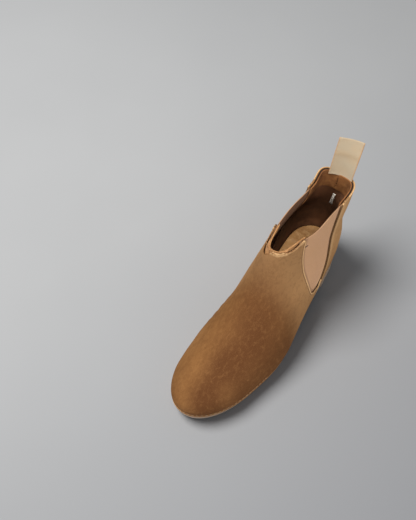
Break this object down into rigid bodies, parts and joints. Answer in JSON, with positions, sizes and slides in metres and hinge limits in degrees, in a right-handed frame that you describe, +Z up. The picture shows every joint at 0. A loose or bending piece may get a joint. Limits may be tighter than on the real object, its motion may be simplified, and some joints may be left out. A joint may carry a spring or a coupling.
{
  "type": "chelsea boot",
  "caption": "Suede chelsea boot for the left foot, with elastic side gores, a pull loop at the back, a welted sole and a low block heel.",
  "frame": {"origin": "on the ground under the middle of the boot's bounding box", "axes": "+Z up, toe towards -Y, heel towards +Y, wearer's outer side +X"},
  "size_m": [0.0972, 0.2972, 0.2031],
  "materials": {
    "suede": "tan suede, short nap",
    "elastic": "ribbed elastic web",
    "lining_leather": "smooth dark brown leather",
    "stiffener": "thermoplastic stiffener sheet",
    "tape": "woven reinforcement tape",
    "webbing": "cotton webbing, twill weave",
    "label_cloth": "plain woven label, blank",
    "insole": "fibre insole board",
    "sock": "smooth tan leather",
    "cork": "granulated cork filler",
    "steel": "plain steel",
    "welt": "natural welt leather",
    "sole_rubber": "cream crepe-look rubber, smooth",
    "thread": "waxed thread"
  },
  "bodies": {
    "boot": {"bar_tacks": "thread", "cork_filler_rear": "cork", "gore_lateral": "elastic", "gore_medial": "elastic", "heel_block": "sole_rubber", "heel_nails": "steel", "heel_top_piece": "sole_rubber", "insole_board_rear": "insole", "outsole_rear": "sole_rubber", "shank": "steel", "sock_liner_rear": "sock", "topline_stitching_front": "thread", "topline_tape_front": "tape", "vamp": "suede", "vamp_edge_stitching": "thread", "vamp_lining": "lining_leather", "welt_rear": "welt", "welt_stitching_rear": "thread"},
    "forefoot": {"cork_filler_front": "cork", "insole_board_front": "insole", "outsole_front": "sole_rubber", "sock_liner_front": "sock", "welt_front": "welt", "welt_stitching_front": "thread", "toe_puff": "stiffener"},
    "collar_back": {"quarter_lateral": "suede", "quarter_medial": "suede", "quarter_lining": "lining_leather", "heel_counter": "stiffener", "topline_tape_rear": "tape", "pull_loop_tail": "webbing", "pull_loop_stitching": "thread", "size_label": "label_cloth", "quarter_edge_stitching": "thread", "topline_stitching_rear": "thread", "back_seam_stitching": "thread"},
    "pull_loop": {"pull_loop": "webbing"}
  },
  "joints": [
    {"name": "ball_flex", "type": "hinge", "parent": "boot", "child": "forefoot", "pos_m": [0, -0.04593, 0.02], "axis": [-1, 0, 0], "range_deg": [0, 30], "stiffness_Nm_per_rad": 0.6, "deforming": ["vamp", "vamp_lining"]},
    {"name": "collar_opening", "type": "hinge", "parent": "boot", "child": "collar_back", "pos_m": [0, 0.14607, 0.022], "axis": [-1, 0, 0], "range_deg": [0, 6], "stiffness_Nm_per_rad": 3, "deforming": ["gore_lateral", "gore_medial"]},
    {"name": "pull_loop_fold", "type": "hinge", "parent": "collar_back", "child": "pull_loop", "pos_m": [0.00774, 0.132, 0.1605], "axis": [0.9903, 0.1392, 0], "range_deg": [-67, 87], "stiffness_Nm_per_rad": 0.004}
  ]
}
